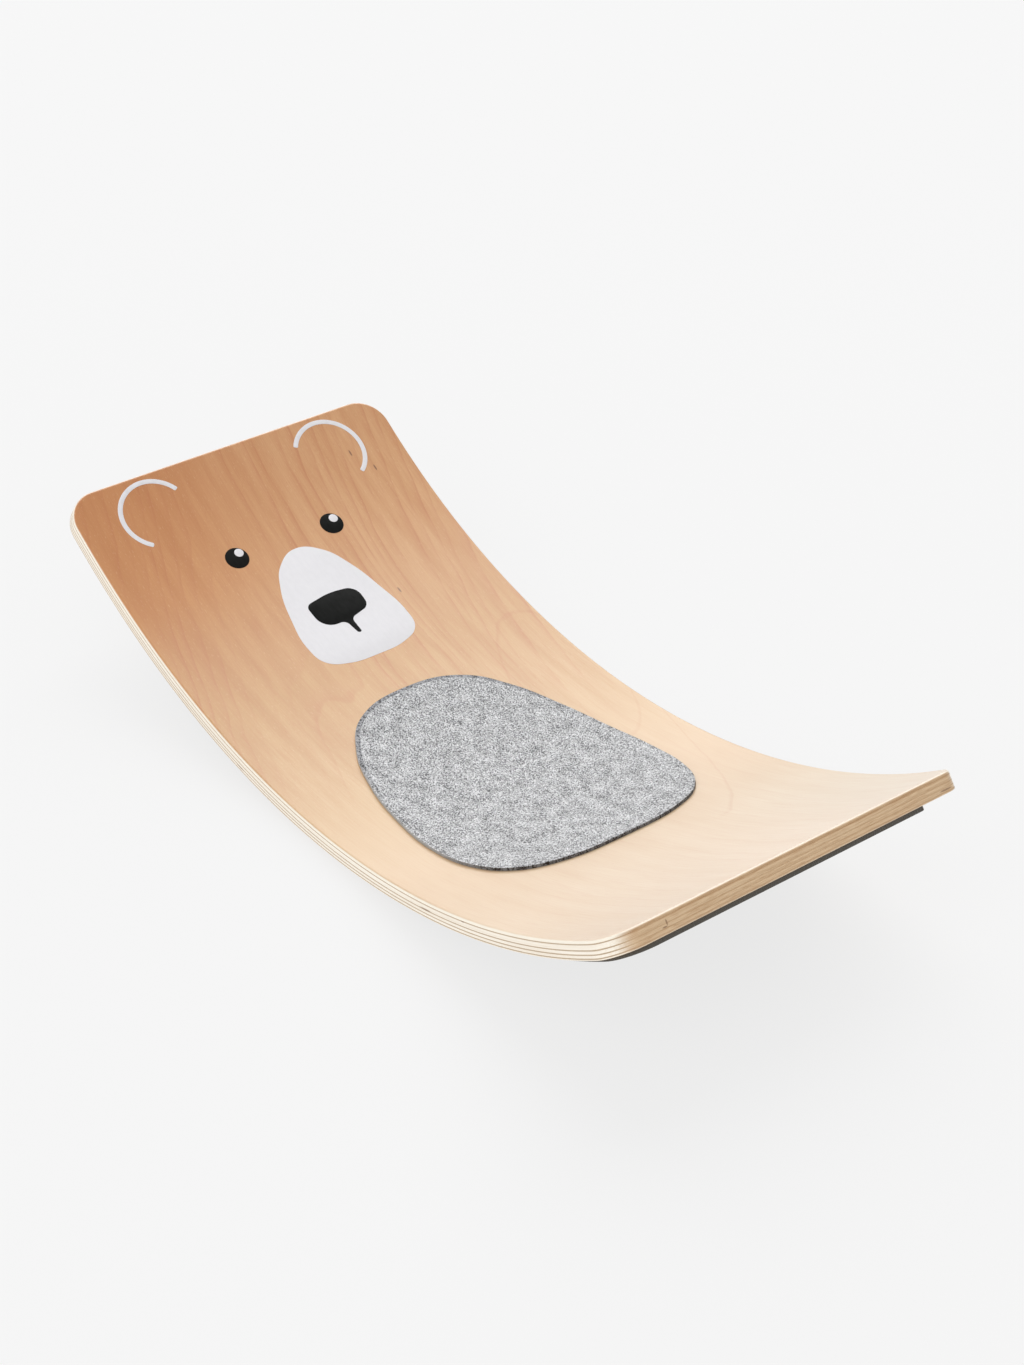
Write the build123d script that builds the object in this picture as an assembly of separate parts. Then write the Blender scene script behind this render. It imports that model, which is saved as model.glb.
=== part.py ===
from build123d import *
import os
from math import cos, radians, sin

# A curved balance board: one moulded plywood rocker with a felt belly patch, a felt sole and a bear's face.
# Frame: X runs along the board, with the head at -X. Y runs across it. Z is up.
# The origin is on the floor, under the middle of the board. Everything is in millimetres.

# ---- driving dimensions ----
DECK_RADIUS = 571.0
ARC_LENGTH = 734.0
BOARD_WIDTH = 300.0
CORNER_RADIUS = 26.0
TIGHT_CORNER_RADIUS = 10.0
TOP_ROUND = 2.0
BOTTOM_ROUND = 0.9

# The veneers from the deck down: long ones carry the bend, thin cross ones lock them.
VENEERS = [
    ("face_veneer", 2.4),
    ("cross_veneer_1", 0.8),
    ("core_veneer_1", 3.4),
    ("cross_veneer_2", 0.8),
    ("core_veneer_2", 2.15),
    ("cross_veneer_3", 0.8),
    ("core_veneer_3", 1.9),
    ("cross_veneer_4", 0.8),
    ("back_veneer", 1.05),
]

ADHESIVE = 0.2
ADHESIVE_SETBACK = 1.0

SOLE_FELT = 3.2
SOLE_WIDTH = 260.0
SOLE_SHIFT = -13.0
SOLE_END_INSET = 1.0
SOLE_CORNER_RADIUS = 26.0
SOLE_TIGHT_CORNER_RADIUS = 5.0

BELLY_FELT = 3.0
BELLY_CENTRE = 46.7
# Half the belly's outline: distance along the board from its centre, then half its width there.
BELLY_TOP = -138.3
BELLY_BOTTOM = 138.3
BELLY_HALF = [(-127, 48), (-97, 73.5), (-57, 89), (-7, 99), (43, 103.5), (83, 99), (112, 85), (130, 60)]

PAINT = 0.2
PAINT_OVER = 0.15

MUZZLE_CENTRE = (-197.0, 6.8)
MUZZLE_TOP = -61.8
MUZZLE_BOTTOM = 61.5
MUZZLE_HALF = [(-52, 20.3), (-32, 33), (0, 42.8), (32, 47.3), (50, 43), (59, 27)]

EYE_RADIUS = 10.0
EYE_S = -269.0
EYE_SPACING = 91.3
EYE_MIDDLE = 2.85
GLINT_RADIUS = 3.85
GLINT_OFFSET = (-4.0, 4.0)

EAR_S = -330.2
EAR_SPACING = 167.2
EAR_MIDDLE = 1.0
EAR_RADIUS = 30.0
EAR_STROKE = 4.0
EAR_START = 33.4
EAR_SWEEP = 199.0

# The nose's corners, each as (along the board, across it, corner radius).
NOSE_CORNERS = [
    (-204.7, -17.5, 6.0),
    (-208.9, 7.0, 50.0),
    (-205.9, 31.0, 10.5),
    (-183.7, 29.9, 8.5),
    (-178.3, 9.3, 5.5),
    (-161.9, 8.9, 1.5),
    (-163.0, 5.5, 1.7),
    (-177.9, 3.4, 5.5),
    (-177.7, -17.0, 13.0),
]

# ---- derived dimensions ----
PLY = sum(thickness for _, thickness in VENEERS)
HALF_ANGLE = ARC_LENGTH / 2 / DECK_RADIUS
AXIS_HEIGHT = DECK_RADIUS + PLY + ADHESIVE + SOLE_FELT
CLEAR = 8.0
COLUMN_REACH = 50.0
SPARE_ANGLE = 0.05
SAME = 0.01


def place(angle, radius, y):
    """The point at an angle from straight down and a radius about the bend's axis."""
    return Vector(radius * sin(angle), y, AXIS_HEIGHT - radius * cos(angle))


def ring(top, bottom, half_angle, y_min, y_max):
    """A bent slab between two depths below the deck."""
    inner = DECK_RADIUS + top
    outer = DECK_RADIUS + bottom

    def arc(radius, start, end):
        return ThreePointArc(place(start, radius, y_min), place(0, radius, y_min), place(end, radius, y_min))

    section = [
        arc(inner, -half_angle, half_angle),
        Line(place(half_angle, inner, y_min), place(half_angle, outer, y_min)),
        arc(outer, half_angle, -half_angle),
        Line(place(-half_angle, outer, y_min), place(-half_angle, inner, y_min)),
    ]
    return extrude(make_face(section), amount=y_max - y_min, dir=(0, 1, 0))


def shell(top, bottom):
    """A bent slab larger than the board, to cut one layer out of it."""
    reach = BOARD_WIDTH / 2 + CLEAR
    return ring(top, bottom, HALF_ANGLE + SPARE_ANGLE, -reach, reach)


def corner_edges(solid, thickness):
    """The short straight edges through the slab's thickness, one at each corner."""
    return [edge for edge in solid.edges().filter_by(GeomType.LINE) if abs(edge.length - thickness) < SAME]


def round_corners(solid, thickness, radius, tight_radius):
    """Round a slab's corners: three alike, and the one at +X and +Y more tightly."""

    def tight(edge):
        return edge.center().X > 0 and edge.center().Y > 0

    solid = fillet([edge for edge in corner_edges(solid, thickness) if not tight(edge)], radius)
    return fillet([edge for edge in corner_edges(solid, thickness) if tight(edge)], tight_radius)


def outline_edges(solid, depth):
    """The edges of the outline that lie at one depth."""
    radius = DECK_RADIUS + depth

    def on_depth(point):
        return abs(Vector(point.X, 0, point.Z - AXIS_HEIGHT).length - radius) < SAME

    return [edge for edge in solid.edges() if all(on_depth(edge @ t) for t in (0, 0.5, 1))]


def board_blank():
    """The whole pressed board, with its corners and edges rounded."""
    half_width = BOARD_WIDTH / 2
    blank = ring(0, PLY, HALF_ANGLE, -half_width, half_width)
    blank = round_corners(blank, PLY, CORNER_RADIUS, TIGHT_CORNER_RADIUS)
    blank = fillet(outline_edges(blank, 0), TOP_ROUND)
    return fillet(outline_edges(blank, PLY), BOTTOM_ROUND)


def sole(top, bottom, setback):
    """A layer of the sole, which is cut a little short of the board all round."""
    half_angle = HALF_ANGLE - (SOLE_END_INSET + setback) / DECK_RADIUS
    half_width = SOLE_WIDTH / 2 - setback
    slab = ring(0, PLY + CLEAR, half_angle, SOLE_SHIFT - half_width, SOLE_SHIFT + half_width)
    radii = [radius - setback for radius in (SOLE_CORNER_RADIUS, SOLE_TIGHT_CORNER_RADIUS)]
    slab = round_corners(slab, PLY + CLEAR, *radii)
    return slab & shell(top, bottom)


def on_deck(s, y):
    """The plane that touches the deck at a place along and across the board, with its X along the board."""
    angle = s / DECK_RADIUS
    return Plane(place(angle, DECK_RADIUS, y), x_dir=(cos(angle), 0, sin(angle)), z_dir=(-sin(angle), 0, cos(angle)))


def laid(sketch, plane, low, high):
    """A thin layer in the sketch's outline, lying on the deck between two heights above it."""
    column = extrude(plane * sketch, amount=COLUMN_REACH, both=True)
    return column & shell(-high, -low)


def egg(top, half, bottom, setback=0.0):
    """A closed, smooth outline, the same on both sides. Lengths along the board are laid off on the bend."""
    side = [(s * (1 - setback / bottom), width - setback) for s, width in half]
    points = [(top + setback, 0)] + side + [(bottom - setback, 0)] + [(s, -width) for s, width in reversed(side)]
    flat = [(DECK_RADIUS * sin(s / DECK_RADIUS), y) for s, y in points]
    return make_face(Spline(*flat, periodic=True))


def nose_outline():
    """The nose with its short philtrum, as a polygon with rounded corners, about the muzzle's centre."""
    corners = [(s - MUZZLE_CENTRE[0], y - MUZZLE_CENTRE[1]) for s, y, _ in NOSE_CORNERS]
    radii = [radius for _, _, radius in NOSE_CORNERS]
    return make_face(FilletPolyline(*corners, radius=radii, close=True))


def ear_outline(side):
    """A round-ended stroke bent round most of a circle, from near the head's middle over the top and down outside.
    The side is -1 or 1, across the board, and the two ears mirror each other."""
    turns = [radians(EAR_START + t * EAR_SWEEP) for t in (0, 0.5, 1)]
    spine = [(-EAR_RADIUS * sin(a), -side * EAR_RADIUS * cos(a)) for a in turns]
    return SlotArc(ThreePointArc(*spine), EAR_STROKE)


# ---- the pieces ----
pieces = {}

blank = board_blank()
depth = 0.0
for name, thickness in VENEERS:
    top = depth if depth > 0 else -CLEAR
    bottom = PLY + CLEAR if name == "back_veneer" else depth + thickness
    pieces[name] = blank & shell(top, bottom)
    depth += thickness

pieces["sole_adhesive"] = sole(PLY, PLY + ADHESIVE, ADHESIVE_SETBACK)
pieces["sole_felt"] = sole(PLY + ADHESIVE, PLY + ADHESIVE + SOLE_FELT, 0)

belly_plane = on_deck(BELLY_CENTRE, 0)
belly_film = egg(BELLY_TOP, BELLY_HALF, BELLY_BOTTOM, ADHESIVE_SETBACK)
pieces["belly_adhesive"] = laid(belly_film, belly_plane, 0, ADHESIVE)
belly_cut = egg(BELLY_TOP, BELLY_HALF, BELLY_BOTTOM)
pieces["belly_felt"] = laid(belly_cut, belly_plane, ADHESIVE, ADHESIVE + BELLY_FELT)

face_plane = on_deck(*MUZZLE_CENTRE)
pieces["muzzle"] = laid(egg(MUZZLE_TOP, MUZZLE_HALF, MUZZLE_BOTTOM), face_plane, 0, PAINT)
pieces["nose"] = laid(nose_outline(), face_plane, PAINT, PAINT + PAINT_OVER)

for label, side in (("left", -1), ("right", 1)):
    eye_plane = on_deck(EYE_S, EYE_MIDDLE + side * EYE_SPACING / 2)
    pieces["eye_" + label] = laid(Circle(EYE_RADIUS), eye_plane, 0, PAINT)
    glint = Pos(*GLINT_OFFSET) * Circle(GLINT_RADIUS)
    pieces["eye_glint_" + label] = laid(glint, eye_plane, PAINT, PAINT + PAINT_OVER)
    ear_plane = on_deck(EAR_S, EAR_MIDDLE + side * EAR_SPACING / 2)
    pieces["ear_" + label] = laid(ear_outline(side), ear_plane, 0, PAINT)

os.makedirs("parts", exist_ok=True)
for name, piece in pieces.items():
    solid = piece.solids()[0]
    export_step(solid, os.path.join("parts", name + ".step"))
    print(name, len(piece.solids()), round(solid.volume / 1000, 2), "cm3")
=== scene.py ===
# %% [markdown]
# # A child's balance board with a bear's face
# The board is one rocker of pressed plywood. A bear's face is printed on its head end, a grey felt patch is
# the bear's belly, and a dark felt sole lies under it. We build every visible piece here, round a fixed
# frame that already holds each piece's true place. The frame is in metres: X runs along the board with the
# head at -X, Y runs across it, and Z is up from the floor.

from contextlib import contextmanager
from math import cos, degrees, radians, sin, tan

import bmesh
import bpy
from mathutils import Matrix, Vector


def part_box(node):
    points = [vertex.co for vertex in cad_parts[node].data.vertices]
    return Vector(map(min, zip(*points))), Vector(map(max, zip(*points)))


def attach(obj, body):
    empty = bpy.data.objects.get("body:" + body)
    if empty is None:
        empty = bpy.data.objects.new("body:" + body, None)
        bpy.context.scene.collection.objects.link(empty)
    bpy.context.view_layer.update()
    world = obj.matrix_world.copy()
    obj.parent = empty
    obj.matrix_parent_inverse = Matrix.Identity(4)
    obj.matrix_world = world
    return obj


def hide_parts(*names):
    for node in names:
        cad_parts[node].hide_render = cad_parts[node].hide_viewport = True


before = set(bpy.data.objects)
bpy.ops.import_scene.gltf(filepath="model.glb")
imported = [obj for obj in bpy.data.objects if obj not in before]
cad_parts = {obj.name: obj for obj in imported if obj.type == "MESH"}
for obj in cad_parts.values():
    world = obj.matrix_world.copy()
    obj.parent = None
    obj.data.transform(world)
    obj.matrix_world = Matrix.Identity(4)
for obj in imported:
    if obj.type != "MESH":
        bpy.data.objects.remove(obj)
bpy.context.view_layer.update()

# %% [markdown]
# # The board's own sizes
# A pressed board is easiest to think of flat. Along it we measure s, the distance from the middle as a tape
# laid on the deck would give it. Across it we measure y. A few driving sizes then settle everything: how
# long, how wide, how tightly bent, and the stack of veneers from the deck down. The long veneers carry the
# bend, and the thin cross veneers between them stop it from opening again.

# %% Driving sizes
MM = 0.001
ARC_LENGTH = 734 * MM
BOARD_WIDTH = 300 * MM
DECK_RADIUS = 571 * MM
CORNER = 26 * MM
TIGHT_CORNER = 10 * MM
TOP_ROUND = 2.0 * MM
BACK_ROUND = 0.9 * MM
EASED = 0.1 * MM
SAME = 0.01 * MM

VENEERS = [
    ("face_veneer", 2.4 * MM),
    ("cross_veneer_1", 0.8 * MM),
    ("core_veneer_1", 3.4 * MM),
    ("cross_veneer_2", 0.8 * MM),
    ("core_veneer_2", 2.15 * MM),
    ("cross_veneer_3", 0.8 * MM),
    ("core_veneer_3", 1.9 * MM),
    ("cross_veneer_4", 0.8 * MM),
    ("back_veneer", 1.05 * MM),
]
PLY = sum(thickness for _, thickness in VENEERS)
GLUE = 0.2 * MM
SOLE_FELT = 3.2 * MM
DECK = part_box("sole_felt")[0].z + SOLE_FELT + GLUE + PLY
AXIS = DECK + DECK_RADIUS
print("plywood", round(PLY / MM, 2), "mm thick")
print("deck", round(DECK / MM, 2), "mm above the floor at its lowest")

# %% [markdown]
# # The camera
# The camera stands in front of the board's foot end and to its near side, above it, with a long lens so
# that the far end isn't much smaller than the near one.

# %% Camera
EYE = Vector((1.3006, -0.9592, 1.1562))
SIGHT = Vector((-0.6609, 0.5058, -0.5544))

bpy.ops.object.camera_add(location=EYE, rotation=SIGHT.to_track_quat("-Z", "Y").to_euler())
camera = bpy.context.object
camera.name = "camera"
camera.data.sensor_width = 36
camera.data.lens = 68.82
bpy.context.scene.camera = camera
print("the camera stands", round(EYE.length, 2), "m from the board")

# %% [markdown]
# # Shader maths that reads like arithmetic
# A procedural finish is mostly sums on numbers that change over a surface. Wired by hand, each sum is a
# node and two links, and the idea gets lost. So one small class wraps a socket and gives it +, -, * and /,
# and one method makes every node: its type, then its settings, then what goes into its sockets.

# %% Numbers
class Number:
    """A number that changes over a surface. A sum with it adds a Math node."""

    def __init__(self, finish, socket):
        self.finish = finish
        self.socket = socket

    def math(self, operation, *others):
        values = dict(enumerate([self, *others]))
        made = self.finish.node("ShaderNodeMath", {"operation": operation}, values)
        return Number(self.finish, made.outputs[0])

    def __add__(self, other):
        return self.math("ADD", other)

    def __mul__(self, other):
        return self.math("MULTIPLY", other)

    def __sub__(self, other):
        return self.math("SUBTRACT", other)

    def __rsub__(self, other):
        return self.math("MULTIPLY_ADD", -1, other)

    def __truediv__(self, other):
        return self.math("DIVIDE", other)

    def __pow__(self, other):
        return self.math("POWER", other)

    __radd__ = __add__
    __rmul__ = __mul__

    def capped(self):
        """This number, but never over 1, as a mix factor has to be."""
        return self.math("MINIMUM", 1)

    def ramp(self, low, high, start=0.0, end=1.0):
        """Ease from start to end while this number goes from low to high."""
        settings = {"interpolation_type": "SMOOTHSTEP"}
        values = {"Value": self, "From Min": low, "From Max": high, "To Min": start, "To Max": end}
        return Number(self.finish, self.finish.node("ShaderNodeMapRange", settings, values).outputs[0])


# %% Finishes
class Finish:
    """A material in the making, with one method that makes its nodes."""

    def __init__(self, name):
        self.material = bpy.data.materials.new(name)
        self.material.use_nodes = True
        self.tree = self.material.node_tree
        self.tree.nodes.clear()

    def node(self, kind, settings=None, values=None):
        made = self.tree.nodes.new(kind)
        for key, setting in (settings or {}).items():
            setattr(made, key, setting)
        for key, value in (values or {}).items():
            if isinstance(value, Number):
                value = value.socket
            if isinstance(value, bpy.types.NodeSocket):
                self.tree.links.new(value, made.inputs[key])
            else:
                made.inputs[key].default_value = value
        return made

    def number(self, kind, settings=None, values=None, output=0):
        return Number(self, self.node(kind, settings, values).outputs[output])

    def place(self):
        """The point on the piece as three numbers, which are the frame's own, because no piece is moved."""
        point = self.node("ShaderNodeTexCoord").outputs["Object"]
        split = self.node("ShaderNodeSeparateXYZ", {}, {0: point})
        return [Number(self, split.outputs[axis]) for axis in range(3)]

    def vector(self, x, y, z=0.0):
        return self.node("ShaderNodeCombineXYZ", {}, {0: x, 1: y, 2: z}).outputs[0]

    def noise(self, vector, scale=1.0, detail=2.0, roughness=0.5):
        values = {"Vector": vector, "Scale": scale, "Detail": detail, "Roughness": roughness}
        return self.number("ShaderNodeTexNoise", {}, values)

    def colours(self, number, stops):
        """A colour that follows a number through a few stops, each a value and a colour."""
        low, high = stops[0][0], stops[-1][0]
        made = self.node("ShaderNodeValToRGB", {}, {0: (number - low) / (high - low)})
        ramp = made.color_ramp
        for value, colour in stops[1:-1]:
            ramp.elements.new((value - low) / (high - low)).color = colour
        ramp.elements[0].color = stops[0][1]
        ramp.elements[-1].color = stops[-1][1]
        return made.outputs["Color"]

    def mix(self, factor, first, second, blend="MIX"):
        """Two colours mixed, or one laid over the other by a blend."""
        settings = {"data_type": "RGBA", "blend_type": blend}
        return self.node("ShaderNodeMix", settings, {0: factor, 6: first, 7: second}).outputs[2]

    def tint(self, factor, colour, tone):
        """A colour with a tone laid over it like a thin wash. The darker the tone, the more it takes away."""
        return self.mix(factor, colour, self.mix(1.0, colour, tone, "MULTIPLY"))

    def bump(self, height, distance, strength=1.0):
        """Small relief that only bends the light. The distance is its height in metres."""
        values = {"Height": height, "Distance": distance, "Strength": strength}
        return self.node("ShaderNodeBump", {}, values).outputs[0]

    def surface(self, values):
        """End the finish with the shader that all of these materials use."""
        shader = self.node("ShaderNodeBsdfPrincipled", {}, values)
        self.node("ShaderNodeOutputMaterial", {}, {"Surface": shader.outputs[0]})
        print("finish", self.material.name, "has", len(self.tree.nodes), "nodes")
        return self.material


# %% Shades of colour
def shade(red, green, blue):
    """A colour from the 0 to 255 of a paint chart, as the light the shader works in."""
    parts = [value / 255 for value in (red, green, blue)]
    return [part / 12.92 if part <= 0.04045 else ((part + 0.055) / 1.055) ** 2.4 for part in parts] + [1.0]


# %% [markdown]
# # A studio: pale floor and soft light
# Product studios light with very large, soft sources, and often stand the object on a lit table: a white
# sheet with lamps under it, which washes out most of the shadow. Here the floor is such a table. It glows
# by itself, and its own colour is dark enough that a shadow takes little away from it. The whole room gives
# an even white light. A broad soft source behind the board makes the lacquer shine where the deck runs flat
# towards us, and a second one from the front left lights the board's long edge. Both are suns with a wide
# disc, so that the floor is lit as evenly near the board as far from it.

# %% Floor and lights
ROOM_LIGHT = 0.5
TABLE_GLOW = 0.765
TABLE_TONES = ([0.125, 0.125, 0.125, 1], [0.135, 0.135, 0.135, 1])
PAPER_TOOTH = 900
FLOOR_SIZE = 400
WHITE = [1, 1, 1, 1]

# Each light as (its name, where it shines from, its strength, how wide it looks in degrees).
LIGHTS = [("back_light", (-0.6, 0.45, 0.65), 2.0, 60), ("front_light", (0.35, -0.85, 0.45), 1.5, 90)]


def soft_sun(name, source, strength, spread):
    """A very broad source in the direction given, as large as a window wall."""
    bpy.ops.object.light_add(type="SUN", rotation=Vector(source).to_track_quat("Z", "Y").to_euler())
    sun = bpy.context.object
    sun.name = name
    sun.data.energy = strength
    sun.data.angle = radians(spread)


bpy.ops.mesh.primitive_plane_add(size=FLOOR_SIZE)
floor = bpy.context.object
floor.name = "floor"

paper = Finish("studio_paper")
x, y, z = paper.place()
tooth = paper.noise(paper.vector(x, y, z), PAPER_TOOTH)
lit_paper = {
    "Base Color": paper.mix(tooth, *TABLE_TONES),
    "Roughness": 0.9,
    "Specular IOR Level": 0.1,
    "Emission Color": WHITE,
    "Emission Strength": TABLE_GLOW,
}
floor.data.materials.append(paper.surface(lit_paper))

room = bpy.context.scene.world or bpy.data.worlds.new("room")
bpy.context.scene.world = room
room.use_nodes = True
room.node_tree.nodes["Background"].inputs["Color"].default_value = WHITE
room.node_tree.nodes["Background"].inputs["Strength"].default_value = ROOM_LIGHT

for light in LIGHTS:
    soft_sun(*light)
bpy.context.scene.view_settings.view_transform = "Standard"
print("floor and", len(bpy.data.lights), "lights")

# %% [markdown]
# # Tools for modelling by hand
# Operators act on whatever is selected, so each step starts from a clean selection and then picks faces or
# edges by where they are. Every piece of this board is modelled flat and then pressed into the bend, the
# way the real veneers are. Before that it is cut into narrow strips, because a face can't bend, only its
# edges can.

# %% Selecting and editing
def select_only(piece):
    bpy.ops.object.select_all(action="DESELECT")
    piece.select_set(True)
    bpy.context.view_layer.objects.active = piece


@contextmanager
def editing(piece):
    """Edit mode on one piece, with nothing in it selected."""
    select_only(piece)
    bpy.ops.object.mode_set(mode="EDIT")
    bpy.ops.mesh.select_all(action="DESELECT")
    yield
    bpy.ops.object.mode_set(mode="OBJECT")


def pick(piece, kind, wanted):
    """In edit mode, select just the verts, edges or faces that pass a test."""
    bpy.ops.mesh.select_mode(type=kind)
    bpy.ops.mesh.select_all(action="DESELECT")
    mesh = bmesh.from_edit_mesh(piece.data)
    parts = {"VERT": mesh.verts, "EDGE": mesh.edges, "FACE": mesh.faces}[kind]
    for part in [part for part in parts if wanted(part)]:
        part.select_set(True)
    bmesh.update_edit_mesh(piece.data)


def named(piece, name):
    piece.name = name
    piece.data.name = name
    return piece


def settle(piece):
    """Put the piece's place, turn and size into its mesh, so that its object sits at the origin."""
    select_only(piece)
    bpy.ops.object.transform_apply(location=True, rotation=True, scale=True)


# %% Finding edges
def upright(edge):
    first, second = edge.verts
    return abs(first.co.z - second.co.z) > 0.9 * edge.calc_length()


def at_height(part, height):
    """True if all of an edge or face lies at a height above the floor."""
    return all(abs(vert.co.z - height) < SAME for vert in part.verts)


def on_rim(edge, height):
    """True for an edge of the outline at a height: one of its faces is flat, and the other stands up."""
    flats = [abs(face.normal.z) > 0.9 for face in edge.link_faces]
    return at_height(edge, height) and True in flats and False in flats


def round_rim(piece, height, radius, segments):
    """Ease the outline at one height, as a router bit or sandpaper does."""
    with editing(piece):
        pick(piece, "EDGE", lambda edge: on_rim(edge, height))
        bpy.ops.mesh.bevel(offset=radius, segments=segments, affect="EDGES")


# %% Cutting, pressing and smoothing
def reach(piece, axis):
    values = [vert.co[axis] for vert in piece.data.vertices]
    return min(values), max(values)


def cut_strips(piece, spacing, axis=0):
    """Cut a flat piece into even strips across one axis."""
    low, high = reach(piece, axis)
    count = max(1, round((high - low) / spacing))
    normal = Vector((0, 0, 0))
    normal[axis] = 1
    with editing(piece):
        for step in range(1, count):
            bpy.ops.mesh.select_all(action="SELECT")
            bpy.ops.mesh.bisect(plane_co=normal * (low + (high - low) * step / count), plane_no=normal)


def press(piece):
    """Bend a flat piece round the board's axis, which lies across the board above its middle."""
    bpy.ops.object.empty_add(location=(0, 0, DECK), rotation=(radians(90), 0, 0))
    mould = bpy.context.object
    low, high = reach(piece, 0)
    bend = piece.modifiers.new("bend", "SIMPLE_DEFORM")
    bend.deform_method = "BEND"
    bend.deform_axis = "Z"
    bend.origin = mould
    bend.angle = (high - low) / DECK_RADIUS
    select_only(piece)
    bpy.ops.object.modifier_apply(modifier=bend.name)
    bpy.data.objects.remove(mould)


def smooth(piece, angle=30):
    select_only(piece)
    bpy.ops.object.shade_smooth_by_angle(angle=radians(angle))


def report(piece):
    corners = [[round(value / MM, 1) for value in reach(piece, axis)] for axis in range(3)]
    print(piece.name, "faces", len(piece.data.polygons), "reach in mm", corners)


# %% [markdown]
# # The veneers
# Plywood is made as a flat stack of glued sheets, pressed in a curved mould, and then cut to its outline
# all at once. So one flat blank gets the outline with its rounded corners, and each veneer is a copy of it
# at its own height and thickness. One corner of this board, on the foot end, is cut much tighter than the
# other three. The deck's edge is rounded over with a router, and the underside's is only eased.

# %% The flat blank
STRIP = 7.6 * MM
FLAT_BORDER = 0.5 * MM
CORNER_STEPS = 12
ROUND_STEPS = 6
EASED_STEPS = 2

bpy.ops.mesh.primitive_cube_add(size=1, scale=(ARC_LENGTH, BOARD_WIDTH, 1))
blank = named(bpy.context.object, "blank")
settle(blank)


def round_corners(piece, radius, tight_radius):
    """Round a slab's upright edges: three alike, and the one at +X and +Y more tightly."""
    corner = Vector((reach(piece, 0)[1], reach(piece, 1)[1]))

    def is_tight(edge):
        return (edge.verts[0].co.xy - corner).length < MM

    for tight, offset in ((False, radius), (True, tight_radius)):
        with editing(piece):
            pick(piece, "EDGE", lambda edge: upright(edge) and is_tight(edge) == tight)
            bpy.ops.mesh.bevel(offset=offset, segments=CORNER_STEPS, affect="EDGES")


round_corners(blank, CORNER, TIGHT_CORNER)
report(blank)

# %% [markdown]
# Each copy is scaled to its veneer's thickness and moved to its depth. The face veneer's top and the back
# veneer's bottom get their rounded edge, with a narrow flat border inside it that keeps the wide face's
# shading flat. The other rims are eased by a tenth of a millimetre, which leaves the fine grooves that show
# in a sanded plywood edge.

# %% One piece for each veneer
def cut_veneer(name, top, thickness):
    sheet = named(blank.copy(), name)
    sheet.data = blank.data.copy()
    bpy.context.collection.objects.link(sheet)
    sheet.scale.z = thickness
    sheet.location.z = top - thickness / 2
    settle(sheet)
    for height in (top, top - thickness):
        outer = {DECK: TOP_ROUND, DECK - PLY: BACK_ROUND}.get(height, EASED)
        round_rim(sheet, height, outer, EASED_STEPS if outer == EASED else ROUND_STEPS)
        if outer != EASED:
            with editing(sheet):
                pick(sheet, "FACE", lambda face: at_height(face, height))
                bpy.ops.mesh.inset(thickness=FLAT_BORDER)
    cut_strips(sheet, STRIP)
    press(sheet)
    smooth(sheet)
    return sheet


veneers = {}
top = DECK
for node, thickness in VENEERS:
    bottom = DECK - PLY if node == "back_veneer" else top - thickness
    veneers[node] = cut_veneer("ply_" + node, top, top - bottom)
    top = bottom
    report(veneers[node])
bpy.data.objects.remove(blank)

# %% [markdown]
# # Wood, unrolled
# The grain of a pressed board runs round the bend with it. So the wood finishes first work out where a
# point would be on the flat board: s along it, y across it, and the depth below the deck, all in
# millimetres. Every pattern is a solid one in those three numbers, so that a grain line on the deck carries
# on down the board's edge. The same sums tell a long edge, which shows the side of the grain, from an end,
# which shows it cut across.

# %% Flat coordinates in a finish
class Wood(Finish):
    """A finish that knows where each point lies on the flat board."""

    def __init__(self, name):
        super().__init__(name)
        x, y, z = self.place()
        up = AXIS - z
        radius = (x * x + up * up) ** 0.5
        self.s = x.math("ARCTAN2", up) * (DECK_RADIUS / MM)
        self.y = y / MM
        self.depth = (radius - DECK_RADIUS) / MM
        normal = self.node("ShaderNodeNewGeometry").outputs["Normal"]
        split = self.node("ShaderNodeSeparateXYZ", {}, {0: normal})
        nx, nz = [Number(self, split.outputs[axis]) for axis in (0, 2)]
        along = (nx * up + nz * x) / radius
        facing = (nz * up - nx * x) / radius
        self.end = along.math("ABSOLUTE").ramp(0.62, 0.98)
        self.foot = along.ramp(-0.2, 0.5)
        self.deck = facing.ramp(0.55, 0.95)
        self.flat = (self.deck + facing.ramp(-0.55, -0.95)).capped()

    def streaks(self, along, across, detail=2.0):
        """Noise drawn out along the grain. The two numbers are its size in millimetres each way."""
        vector = self.vector(self.s / along, self.y / across, self.depth / across)
        return self.noise(vector, 1.0, detail)

    def spot(self, s, y, depth, size):
        """1 inside a small stretched spot, and 0 outside it."""
        point = (self.s, self.y, self.depth)
        offsets = [(here - middle) / half for here, middle, half in zip(point, (s, y, depth), size)]
        distance = (offsets[0] ** 2 + offsets[1] ** 2 + offsets[2] ** 2) ** 0.5
        return distance.ramp(0.6, 1.2, 1.0, 0.0)
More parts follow.
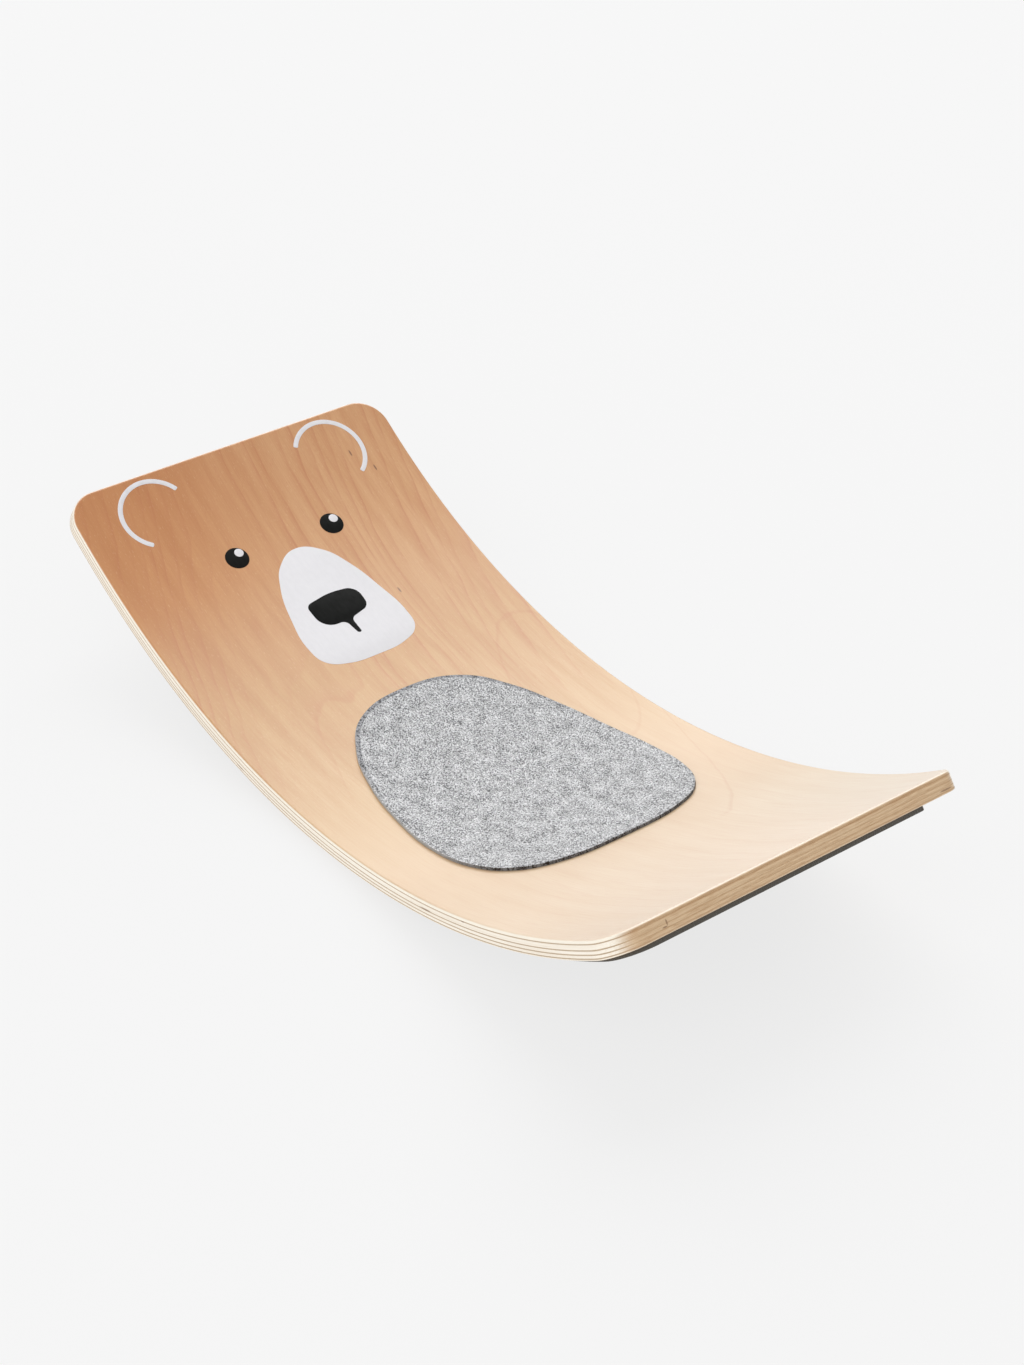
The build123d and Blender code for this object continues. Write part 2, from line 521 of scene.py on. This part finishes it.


# %% [markdown]
# # The deck's beech
# A rotary-cut face veneer shows wide, soft growth lines that fan out along the board, and near one edge a
# few arches where the cut met the curve of a ring. Each line is sharp on one side and fades on the other,
# as latewood does. Over that lie slow changes of tone, long fine fibres, short dark and light flecks, and a
# few dark ticks. The head end is browner than the foot end, and the foot end is paler still with painted
# sheen, where the lacquer catches the light at a grazing angle. A satin lacquer covers it all. Every size
# here is in millimetres.

# %% Grain sizes and colours
GRAIN_STEP = 10.5
GRAIN_LINE = shade(186, 112, 70)
GRAIN_START = -340
LEAN_LENGTH = 350
SLOW_WANDER = 14
QUICK_WANDER = 2.0
RING_SPREAD = 1.6
ARCH_WANDER = 8
# The deck's colour along it: partly the wood's own tone, and partly painted sheen that makes the foot end
# pale.
BEECH_AND_SHEEN_ALONG = [
    (-350, shade(203, 143, 91)),
    (-250, shade(207, 150, 95)),
    (-130, shade(203, 160, 106)),
    (0, shade(207, 174, 129)),
    (130, shade(209, 181, 146)),
    (230, shade(227, 207, 182)),
    (350, shade(229, 211, 190)),
]
EDGE_CREAM = shade(250, 242, 226)
END_TAN = shade(216, 186, 148)
END_STREAK = shade(176, 134, 92)
# Each arch as (where along the board it turns, its middle across it, how tightly it turns, its strength).
ARCHES = [(-125, 127, 0.027, 0.4), (228, 45, -0.017, 0.28), (60, 105, -0.028, 0.25)]
# Each tick as (along the board, across it), and then the size of one.
TICKS = [(-324, 101), (-304, 114), (-187, 62)]
TICK_SIZE = (3.2, 0.8, 4)

NEAR_SHADE = shade(238, 224, 214)
FAR_HEAD_LIGHT = shade(222, 184, 142)
FOOT_SHEEN = shade(247, 252, 255)
BAND_WASH = shade(240, 226, 212)
LIGHT_FLECK = shade(240, 214, 178)
DARK_TICK = shade(96, 58, 40)
SIDE_FIBRE = shade(226, 208, 182)
LACQUER_RELIEF = 0.03 * MM

print("growth lines", GRAIN_STEP, "mm apart,", len(ARCHES), "arches and", len(TICKS), "ticks")


# %% Growth lines, arches and end grain
def growth_lines(wood):
    """How dark the growth lines are: 0 between them, 1 in the strongest."""
    s, y = wood.s, wood.y
    lean = y.ramp(-10, -90, 0.07, 0.31) + y.ramp(45, 100, 0.0, 0.14)
    travel = (s - GRAIN_START).math("SMOOTH_MIN", LEAN_LENGTH, 60)
    slow = wood.noise(wood.vector(s / 95, y / 40), 1.0, 1.0) * SLOW_WANDER
    quick = wood.noise(wood.vector(s / 26, y / 12), 1.0, 2.0) * QUICK_WANDER
    across = (y + lean * travel + slow + quick) / GRAIN_STEP
    spread = wood.noise(wood.vector(across / 3, 0.5), 1.0, 1.0) * RING_SPREAD
    ring = across + spread
    # One ring is 0 to 1. A wide soft rise and a narrow one end together in the sharp side of the line.
    saw = ring.math("FRACT")
    line = (saw.ramp(0.2, 0.92) * 0.5 + saw.ramp(0.72, 0.92) * 0.5) * saw.ramp(0.93, 1.0, 1.0, 0.0)
    one_value = {"noise_dimensions": "1D"}
    strength = wood.number("ShaderNodeTexWhiteNoise", one_value, {"W": ring.math("FLOOR")})
    fade = wood.noise(wood.vector(s / 55, y / 22, 7), 1.0, 2.0).ramp(0.3, 0.62, 0.3, 1.0)
    return line * strength.ramp(0.0, 1.0, 0.15, 1.0) * fade * s.ramp(-160, 60, 1.0, 0.14)


def arches(wood):
    """The arches of single rings near the far edge: one closes towards the head, and two towards the foot."""
    total = 0
    for apex, middle, curl, strength in ARCHES:
        side = wood.y - middle
        wander = wood.noise(wood.vector(wood.s / 18, wood.y / 14, apex), 1.0, 2.0) * ARCH_WANDER
        inward = (wood.s - apex - side * side * curl + wander - ARCH_WANDER / 2) * (1 if curl > 0 else -1)
        total = inward.ramp(-1.5, 1) * inward.ramp(1, 6, 1.0, 0.0) * strength + total
    return total * wood.y.ramp(45, 72)


def end_streaks(wood):
    """How dark the end grain is: fine streaks along the cut, slow bands, and a brown band under the deck."""
    bend = wood.noise(wood.vector(wood.y / 20, 2), 1.0, 1.0) * 1.6
    fine = wood.noise(wood.vector(wood.y / 8, (wood.depth + bend) / 0.28), 1.0, 3).ramp(0.42, 0.7)
    broad = wood.noise(wood.vector(wood.y / 30, (wood.depth + bend) / 1.5, 4), 1.0, 2).ramp(0.4, 0.65)
    under_deck = wood.depth.ramp(1.2, 2.2) * wood.depth.ramp(2.8, 4.2, 1.0, 0.0)
    return (fine * 0.45 + broad * 0.3 + under_deck * 0.4).capped()


# %% Deck lacquer
beech = Wood("lacquered_beech")
lines = (growth_lines(beech) + arches(beech)).capped()
head = beech.s.ramp(-60, 60, 1.0, 0.35)
tone = beech.streaks(150, 13, 2)
fibre = beech.streaks(30, 0.8, 3)
fleck = beech.streaks(5, 0.55, 1).ramp(0.64, 0.78)
glints = beech.streaks(4, 0.5, 1).ramp(0.36, 0.24)
ticks = 0
for s, y in TICKS:
    ticks = beech.spot(s, y, 0, TICK_SIZE) + ticks

colour = beech.colours(beech.s, BEECH_AND_SHEEN_ALONG)
# Painted shade: the near side of the head end is tinted darker, where less light falls on it.
near = beech.y.ramp(-150, 150, 0.35, 0.0) * beech.s.ramp(-220, -60, 1.0, 0.0)
colour = beech.tint(near, colour, NEAR_SHADE)
# Painted light: the far side of the head end is mixed towards a paler tone, where more light falls on it.
far_head_light = beech.y.ramp(-110, 70) * beech.s.ramp(-270, -90, 0.4, 0.08)
colour = beech.mix(far_head_light, colour, FAR_HEAD_LIGHT)
# Painted sheen: on the far side of the foot end the red is turned down, so that it looks washed by the
# lacquer's sheen.
far_foot_sheen = beech.y.ramp(10, 140) * beech.s.ramp(120, 300)
colour = beech.tint(far_foot_sheen, colour, FOOT_SHEEN)
colour = beech.tint(tone.ramp(0.35, 0.68) * head * 0.6, colour, BAND_WASH)
colour = beech.mix(lines * 0.55, colour, GRAIN_LINE)
colour = beech.mix(fibre.ramp(0.35, 0.75) * head * 0.26, colour, GRAIN_LINE)
colour = beech.mix(fleck * head * 0.45, colour, GRAIN_LINE)
colour = beech.mix(glints * head * 0.3, colour, LIGHT_FLECK)
colour = beech.mix(ticks.capped() * 0.7, colour, DARK_TICK)
side = beech.mix(beech.streaks(40, 0.7, 3).ramp(0.4, 0.8) * 0.2, EDGE_CREAM, SIDE_FIBRE)
edge = beech.mix(beech.end, side, beech.mix(end_streaks(beech), END_TAN, END_STREAK))
colour = beech.mix(beech.deck, edge, colour)
relief = beech.bump(fibre * 0.6 - lines * 0.5, LACQUER_RELIEF)
lacquer = {
    "Base Color": colour,
    "Roughness": fibre.ramp(0.2, 0.8, 0.36, 0.46),
    "Coat Weight": 0.5,
    "Coat Roughness": 0.28,
    "Normal": relief,
}
veneers["face_veneer"].data.materials.append(beech.surface(lacquer))

# %% [markdown]
# # The plywood's edge
# Sanded plywood shows its stack. On the board's long edges the long veneers are seen from the side, pale
# and finely streaked, and the thin cross veneers are cut across, so they read as darker lines. On the two
# ends it is the other way round: the long veneers show end grain, which is browner, and the saw has smeared
# both kinds into fine streaks along the cut. The back veneer is the same wood as the core, and its wide
# face shows under the board beside the sole.

# %% Edge colours and knots
CORE_SIDE = shade(250, 242, 228)
CORE_END = shade(222, 193, 156)
CROSS_SIDE = shade(186, 164, 136)
CROSS_END = shade(206, 174, 136)
BACK_FACE = shade(222, 190, 154)
KNOT = shade(120, 82, 54)
BAND_SHADE = shade(232, 220, 204)
BACK_SHADE = shade(214, 196, 172)
PORE = shade(190, 160, 126)
BARE_RELIEF = 0.04 * MM

# Each knot or split as (its place, its half size), and both are (along the board, across it, below the deck).
KNOTS = [
    ((191, -150, 2.8), (2.2, 2, 0.7)),
    ((145, -150, 6.6), (7, 2, 0.8)),
    ((367, -107, 6.6), (2, 0.7, 2.2)),
    ((367, -109.4, 9), (2, 2.2, 0.6)),
    ((367, 137, 11.2), (2, 6, 0.7)),
    ((-92, -150, 10.5), (5, 2, 0.5)),
    ((-228, 150, 5.2), (6, 2, 0.6)),
]
print(len(KNOTS), "knots and splits in the edges")


# %% Core, cross and back finishes
def edge_wood(name, side, end, face, contrast):
    """Bare sanded wood that is pale on the board's sides and browner on its ends."""
    wood = Wood(name)
    band = wood.streaks(120, 1.2, 2)
    pores = wood.noise(wood.vector(wood.s / 14, wood.y / 0.8, wood.depth / 0.3), 1.0, 3).ramp(0.55, 0.8)
    colour = wood.tint(band.ramp(0.35, 0.75) * contrast, side, BAND_SHADE)
    colour = wood.mix(pores * contrast * 0.5, colour, PORE)
    colour = wood.mix(wood.end, colour, wood.mix(end_streaks(wood), end, END_STREAK))
    veneer = wood.tint(band.ramp(0.3, 0.8) * 0.5, face, BACK_SHADE)
    colour = wood.mix(wood.flat, colour, veneer)
    knots = 0
    for (s, y, depth), size in KNOTS:
        knots = wood.spot(s, y, depth, size) + knots
    colour = wood.mix(knots.capped() * 0.65, colour, KNOT)
    bare = {
        "Base Color": colour,
        "Roughness": pores.ramp(0, 1, 0.5, 0.62),
        "Coat Weight": 0.15,
        "Coat Roughness": 0.4,
        "Normal": wood.bump(band * 0.4 - pores, BARE_RELIEF),
    }
    return wood.surface(bare)


edge_finishes = {
    "core": edge_wood("core_birch", CORE_SIDE, CORE_END, BACK_FACE, 0.4),
    "cross": edge_wood("cross_birch", CROSS_SIDE, CROSS_END, BACK_FACE, 0.3),
    "back": edge_wood("back_birch", CORE_SIDE, CORE_END, BACK_FACE, 0.4),
}
for node, piece in veneers.items():
    kind = node.split("_")[0]
    if kind in edge_finishes:
        piece.data.materials.append(edge_finishes[kind])

# %% [markdown]
# # The bear's face
# The face is screen printed: a thin, level layer of white or black ink with a crisp outline, over the
# lacquer. Its shapes are few and simple. The eyes are discs. The muzzle is an egg, drawn as one closed
# Bezier curve through a handful of points, the same on both sides. The nose is a nine-sided disc whose
# corners are pulled into place and then rounded one by one. Each ear is a small upright face spun about the
# ear's middle, with the corners of its ends eased.

# %% Sizes of the face
INK = 0.2 * MM
OVERPRINT = 0.15 * MM
INK_EASED = 0.05 * MM
INK_STRIP = 4 * MM
DISC_SIDES = 72

EYE_PLACE = -269 * MM
EYE_MIDDLE = 2.85 * MM
EYE_SPACING = 91.3 * MM
EYE_RADIUS = 10 * MM
GLINT_RADIUS = 3.85 * MM
GLINT_OFFSET = Vector((-4, 4, 0)) * MM

EAR_PLACE = -330.2 * MM
EAR_MIDDLE = 1 * MM
EAR_SPACING = 167.2 * MM
EAR_RADIUS = 30 * MM
EAR_STROKE = 4 * MM
EAR_CAP = degrees(EAR_STROKE / 2 / EAR_RADIUS)
EAR_START = 33.4 - EAR_CAP
EAR_SWEEP = 199 + 2 * EAR_CAP
EAR_STEPS = 36
EAR_END_ROUND = EAR_STROKE * 0.3

MUZZLE_MIDDLE = (-197, 6.8)
MUZZLE_HALF = [(-61.8, 0), (-52, 20.3), (-32, 33), (0, 42.8), (32, 47.3), (50, 43), (59, 27), (61.5, 0)]

# The nose's corners, each as (along the board, across it, corner radius) in millimetres.
NOSE_CORNERS = [
    (-204.7, -17.5, 6.0),
    (-208.9, 7.0, 50.0),
    (-205.9, 31.0, 10.5),
    (-183.7, 29.9, 8.5),
    (-178.3, 9.3, 5.5),
    (-161.9, 8.9, 1.5),
    (-163.0, 5.5, 1.7),
    (-177.9, 3.4, 5.5),
    (-177.7, -17.0, 13.0),
]


# %% Discs and eggs
def thicken(piece, thickness):
    """Raise a flat face into a closed slab."""
    with editing(piece):
        bpy.ops.mesh.select_all(action="SELECT")
        bpy.ops.mesh.extrude_region_move(TRANSFORM_OT_translate={"value": (0, 0, thickness)})
        bpy.ops.mesh.select_all(action="SELECT")
        bpy.ops.mesh.normals_make_consistent(inside=False)


def disc(name, place, radius, low, thickness):
    location = (place[0], place[1], low + thickness / 2)
    shape = {"radius": radius, "depth": thickness, "location": location}
    bpy.ops.mesh.primitive_cylinder_add(vertices=DISC_SIDES, **shape)
    piece = named(bpy.context.object, name)
    settle(piece)
    return piece


def egg(name, middle, half, low, thickness):
    """A slab in the outline of a closed curve through points given for one side, in millimetres."""
    other_half = [(s, -width) for s, width in reversed(half[1:-1])]
    points = [Vector((s + middle[0], width + middle[1], low / MM)) * MM for s, width in half + other_half]
    bpy.ops.curve.primitive_bezier_circle_add()
    curve = bpy.context.object
    spline = curve.data.splines[0]
    spline.bezier_points.add(len(points) - len(spline.bezier_points))
    for knot, point in zip(spline.bezier_points, points):
        knot.co = point
        knot.handle_left_type = "AUTO"
        knot.handle_right_type = "AUTO"
    select_only(curve)
    bpy.ops.object.convert(target="MESH")
    piece = named(bpy.context.object, name)
    with editing(piece):
        bpy.ops.mesh.select_all(action="SELECT")
        bpy.ops.mesh.edge_face_add()
    thicken(piece, thickness)
    return piece


# %% The nose
def cut_nose(name, low, thickness):
    bpy.ops.mesh.primitive_circle_add(vertices=len(NOSE_CORNERS), fill_type="NGON")
    piece = named(bpy.context.object, name)
    corners = [Vector((s * MM, y * MM, low)) for s, y, _ in NOSE_CORNERS]
    for vert, corner in zip(piece.data.vertices, corners):
        vert.co = corner
    for index, (_, _, radius) in enumerate(NOSE_CORNERS):
        here = corners[index]
        sides = [(corners[index - 1] - here), (corners[(index + 1) % len(corners)] - here)]
        run = radius * MM / tan(sides[0].angle(sides[1]) / 2)
        with editing(piece):
            pick(piece, "VERT", lambda vert: (vert.co - here).length < SAME)
            bpy.ops.mesh.bevel(offset=run, segments=ROUND_STEPS, affect="VERTICES")
    thicken(piece, thickness)
    return piece


# %% An ear
def spin_ear(name, side, low, thickness):
    """A bent stroke, from near the head's middle over the top and down the outside."""
    middle = Vector((EAR_PLACE, EAR_MIDDLE + side * EAR_SPACING / 2, low))

    def on_ear(turn):
        return middle + EAR_RADIUS * Vector((-sin(radians(turn)), -side * cos(radians(turn)), 0))

    ends = [on_ear(EAR_START), on_ear(EAR_START + EAR_SWEEP)]

    def at_an_end(edge):
        return min((edge.verts[0].co.xy - end.xy).length for end in ends) < EAR_STROKE * 0.55

    outward = ends[0] - middle
    heading = Vector((1, 0)).angle_signed(outward.xy) * -1
    location = ends[0] + Vector((0, 0, thickness / 2))
    bpy.ops.mesh.primitive_plane_add(size=1, location=location, rotation=(radians(90), 0, heading))
    piece = named(bpy.context.object, name)
    piece.scale = (EAR_STROKE, thickness, 1)
    settle(piece)
    with editing(piece):
        bpy.ops.mesh.select_all(action="SELECT")
        turn = radians(side * EAR_SWEEP)
        bpy.ops.mesh.spin(steps=EAR_STEPS, angle=turn, center=middle, axis=(0, 0, 1))
        bpy.ops.mesh.select_all(action="SELECT")
        bpy.ops.mesh.remove_doubles(threshold=SAME)
        bpy.ops.mesh.normals_make_consistent(inside=False)
        pick(piece, "EDGE", lambda edge: upright(edge) and at_an_end(edge))
        bpy.ops.mesh.bevel(offset=EAR_END_ROUND, segments=ROUND_STEPS, affect="EDGES")
    return piece


# %% [markdown]
# Ink is laid over the pores of the wood, so its surface isn't quite level: the white shows a faint mottle,
# and both inks are nearly matt.

# %% Inks
INK_RELIEF = 0.02 * MM


def ink(name, light, dark, roughness, shine):
    paint = Wood(name)
    mottle = paint.noise(paint.vector(paint.s / 7, paint.y / 4), 1.0, 3)
    fibre = paint.streaks(20, 0.9, 2)
    colour = paint.mix(mottle.ramp(0.3, 0.7) * 0.6 + fibre.ramp(0.4, 0.8) * 0.4, light, dark)
    printed = {
        "Base Color": colour,
        "Roughness": mottle.ramp(0.3, 0.7, roughness, roughness + 0.08),
        "Specular IOR Level": shine,
        "Normal": paint.bump(fibre * 0.5 + mottle * 0.5, INK_RELIEF),
    }
    return paint.surface(printed)


INKS = {
    "white_paint": ink("white_ink", shade(229, 228, 231), shade(225, 224, 227), 0.5, 0.22),
    "black_paint": ink("black_ink", shade(22, 23, 22), shade(16, 17, 16), 0.55, 0.08),
}


# %% Print the face
def lay_print(piece, node, slot, top):
    """Ease a layer's upper rim, press it onto the bent deck and give it the ink of its slot."""
    round_rim(piece, top, INK_EASED, EASED_STEPS)
    cut_strips(piece, INK_STRIP)
    press(piece)
    smooth(piece)
    piece.data.materials.append(INKS[slot])
    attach(piece, "root")
    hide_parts(node)
    report(piece)


first = DECK + INK
over = first + OVERPRINT
lay_print(egg("print_muzzle", MUZZLE_MIDDLE, MUZZLE_HALF, DECK, INK), "muzzle", "white_paint", first)
lay_print(cut_nose("print_nose", first, OVERPRINT), "nose", "black_paint", over)
for label, side in (("left", -1), ("right", 1)):
    eye = Vector((EYE_PLACE, EYE_MIDDLE + side * EYE_SPACING / 2, 0))
    pupil = disc("print_eye_" + label, eye, EYE_RADIUS, DECK, INK)
    lay_print(pupil, "eye_" + label, "black_paint", first)
    glint = disc("print_glint_" + label, eye + GLINT_OFFSET, GLINT_RADIUS, first, OVERPRINT)
    lay_print(glint, "eye_glint_" + label, "white_paint", over)
    lay_print(spin_ear("print_ear_" + label, side, DECK, INK), "ear_" + label, "white_paint", first)

# %% [markdown]
# # Felt
# Both felts are needled from short fibres of several greys, cut from flat sheet and glued on. The belly
# patch is an egg like the muzzle, only larger. Its rim is pressed down a little all round where the die
# held it. Small lumps in the surface are real geometry, from a clouds texture that displaces it, and the
# fibres themselves are in the finish. The sole is a plain rectangle with rounded corners, glued a little
# off the board's middle.

# %% Felt sizes
FELT = 3 * MM
BELLY_MIDDLE = (46.7, 0)
BELLY_HALF = [
    (-138.3, 0),
    (-127, 48),
    (-97, 73.5),
    (-57, 89),
    (-7, 99),
    (43, 103.5),
    (83, 99),
    (112, 85),
    (130, 60),
    (138.3, 0),
]
BELLY_EASED = 0.3 * MM
FELT_CELL = 2.4 * MM
FELT_SMOOTH = 40
LUMP_SIZE = 5 * MM
LUMP_HEIGHT = 0.35 * MM

# The pressed rim from the cut edge inwards, each step as (how wide it is, how far it rises).
RIM_STEPS = [(0.6 * MM, 0.14 * MM), (3.0 * MM, 0.05 * MM), (0.9 * MM, 0.45 * MM)]
RIM_DROP = sum(rise for _, rise in RIM_STEPS)


# %% Lumps and a pressed rim
def lumps(piece, low, high):
    """Push the felt's wide faces in and out a little. The rim and cut edge, between the heights, stay."""
    surface = piece.vertex_groups.new(name="wide_faces")
    wide = [vert.index for vert in piece.data.vertices if not low < vert.co.z < high]
    surface.add(wide, 1.0, "REPLACE")
    clouds = bpy.data.textures.new("felt_lumps", "CLOUDS")
    clouds.noise_scale = LUMP_SIZE
    clouds.noise_depth = 3
    push = piece.modifiers.new("lumps", "DISPLACE")
    push.texture = clouds
    push.texture_coords = "LOCAL"
    push.strength = LUMP_HEIGHT
    push.mid_level = 0.5
    push.vertex_group = surface.name
    select_only(piece)
    bpy.ops.object.modifier_apply(modifier=push.name)


def mark_rim(piece, height):
    """Note on each vertex whether it lies below a height, so that the finish can paint shade on the pressed
    rim.
    """
    rim = piece.data.attributes.new("rim", "FLOAT", "POINT")
    for vert, mark in zip(piece.data.vertices, rim.data):
        mark.value = float(vert.co.z < height)


# %% The belly patch
belly_low = DECK + GLUE
belly_high = belly_low + FELT
patch = egg("belly_patch", BELLY_MIDDLE, BELLY_HALF, belly_low, FELT - RIM_DROP)
with editing(patch):
    pick(patch, "FACE", lambda face: at_height(face, belly_high - RIM_DROP))
    for width, rise in RIM_STEPS:
        bpy.ops.mesh.inset(thickness=width, depth=rise)
round_rim(patch, belly_high - RIM_DROP, BELLY_EASED, EASED_STEPS)
for axis in (0, 1):
    cut_strips(patch, FELT_CELL, axis)
mark_rim(patch, belly_high - RIM_DROP / 2)
lumps(patch, belly_low + EASED, belly_high - RIM_DROP / 2)
press(patch)
smooth(patch, FELT_SMOOTH)
report(patch)

# %% The sole
SOLE_WIDTH = 260 * MM
SOLE_SHIFT = -13 * MM
SOLE_END_INSET = 1 * MM
SOLE_TIGHT_CORNER = 5 * MM
SOLE_EASED = 0.6 * MM
SOLE_CELL = 5 * MM

sole_low = DECK - PLY - GLUE - SOLE_FELT
location = (0, SOLE_SHIFT, sole_low + SOLE_FELT / 2)
extent = (ARC_LENGTH - 2 * SOLE_END_INSET, SOLE_WIDTH, SOLE_FELT)
bpy.ops.mesh.primitive_cube_add(size=1, location=location, scale=extent)
sole = named(bpy.context.object, "sole_pad")
settle(sole)
round_corners(sole, CORNER, SOLE_TIGHT_CORNER)
round_rim(sole, sole_low, SOLE_EASED, 3)
for axis in (0, 1):
    cut_strips(sole, SOLE_CELL, axis)
press(sole)
smooth(sole, FELT_SMOOTH)
report(sole)


# %% [markdown]
# # Felt's colour
# Melange felt is a mix of dark, middle and light fibres. Three sets of short strokes lie in three
# directions, each made of noise that is drawn out one way, and finer specks and slow clouds of tone lie
# between them. The sheen of the fuzz is one number for the whole felt. The belly's pressed rim is painted
# darker as shade, most of all on the head's side, where its slope faces away from the light, and has a thin
# light ridge inside it. Its cut edge is dark, painted nearly black towards the foot end as shade, and grey
# on the sides, as painted light from the front.

# %% Felt fibres
STROKE = (3.4, 0.9)
STROKE_TURNS = (15, 75, 135)
RIM_SHADE = shade(192, 193, 196)
RIM_SHADE_STRENGTH = 0.9
RIDGE_LIGHT = 1.6
FUZZ_RELIEF = 0.35 * MM


def fibres(fabric):
    """How light the fibres are, from about -1 to 1: strokes, specks and clouds together."""
    s, y, depth = fabric.s, fabric.y, fabric.depth
    length, width = STROKE
    strokes = 0
    for turn in STROKE_TURNS:
        along = s * cos(radians(turn)) + y * sin(radians(turn))
        across = y * cos(radians(turn)) - s * sin(radians(turn))
        strokes = fabric.noise(fabric.vector(along / length, across / width, turn), 1.0, 1) + strokes
    specks = fabric.noise(fabric.vector(s / 1.3, y / 1.1, depth / 1.1), 1.0, 1)
    clouds = fabric.noise(fabric.vector(s / 13, y / 10), 1.0, 3)
    return (strokes / len(STROKE_TURNS) - 0.5) * 6.5 + (specks - 0.5) * 4.2 + (clouds - 0.5) * 1.7


# %% Felt finish
def shade_pressed_rim(fabric, colour, light):
    """Darken the rim that the piece carries as an attribute with painted shade, most on the head's side, and
    lighten the ridge where it ends.
    """
    pressed = fabric.number("ShaderNodeAttribute", {"attribute_name": "rim"}, {}, "Fac")
    ridge = pressed * (1 - pressed) * RIDGE_LIGHT
    # Painted shade: the pressed rim is darkened, most on the head's side, where its slope faces away from the
    # light.
    darker = pressed * fabric.s.ramp(-60, 30, 1.0, 0.2) * RIM_SHADE_STRENGTH
    return fabric.mix(ridge, fabric.tint(darker, colour, RIM_SHADE), light)


def felt(name, dark, middle, light, shaded_foot_cut, lit_side_cut, has_rim):
    """Fibres of three tones, with the cut edge in a tone for the foot end, darkened there by painted shade,
    and one for the sides, lightened by painted light.
    """
    fabric = Wood(name)
    blend = fibres(fabric)
    colour = fabric.mix(blend.ramp(-0.9, 0.0), dark, middle)
    colour = fabric.mix(blend.ramp(0.0, 0.9), colour, light)
    if has_rim:
        colour = shade_pressed_rim(fabric, colour, light)
    fuzz = blend.ramp(-0.6, 0.6, 0.0, 0.35)
    # Painted light and shade: the cut edge is darker where it faces the foot end and lighter where it faces
    # the sides.
    edge = fabric.mix(fuzz, fabric.mix(fabric.foot, lit_side_cut, shaded_foot_cut), middle)
    woolly = {
        "Base Color": fabric.mix(fabric.flat, edge, colour),
        "Roughness": 0.92,
        "Sheen Weight": 0.2,
        "Sheen Roughness": 0.5,
        "Specular IOR Level": 0.2,
        "Normal": fabric.bump(blend, FUZZ_RELIEF, 0.8),
    }
    return fabric.surface(woolly)


# The belly's cut edge is dark, painted nearly black as shade towards the foot and light grey as painted light
# on the sides.
GREYS = [shade(94, 94, 96), shade(187, 188, 190), shade(241, 241, 243)]
GREY_CUTS_SHADED_AND_LIT = [shade(44, 36, 30), shade(176, 175, 174)]
CHARCOALS = [shade(50, 45, 38), shade(88, 82, 72), shade(128, 124, 116)]
CHARCOAL_CUTS = [shade(86, 82, 76), shade(86, 82, 76)]
patch.data.materials.append(felt("melange_grey", *GREYS, *GREY_CUTS_SHADED_AND_LIT, has_rim=True))
sole.data.materials.append(felt("melange_charcoal", *CHARCOALS, *CHARCOAL_CUTS, has_rim=False))

# %% [markdown]
# # Glue lines
# A thin film of glue holds each felt. All that shows is its edge, set back under the felt, so the frame's
# own thin solids stay and only get a finish: a clear amber film with a few bubbles.

# %% Glue film
AMBERS = [shade(206, 184, 140), shade(186, 160, 112)]

film = Wood("glue_film")
bubbles = film.noise(film.vector(film.s / 2, film.y / 2), 1.0, 2)
amber = film.mix(bubbles.ramp(0.4, 0.7), *AMBERS)
glue_finish = film.surface({"Base Color": amber, "Roughness": bubbles.ramp(0.3, 0.7, 0.25, 0.45)})
for node in ("belly_adhesive", "sole_adhesive"):
    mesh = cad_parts[node].data
    mesh.materials.clear()
    mesh.materials.append(glue_finish)

# %% [markdown]
# The pieces on the board's one body
# Each piece rides on the board's one body and stands for the frame's solid of the same part.

# %% Ride and replace
for node, piece in veneers.items():
    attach(piece, "root")
    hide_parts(node)

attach(patch, "root")
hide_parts("belly_felt")
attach(sole, "root")
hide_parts("sole_felt")
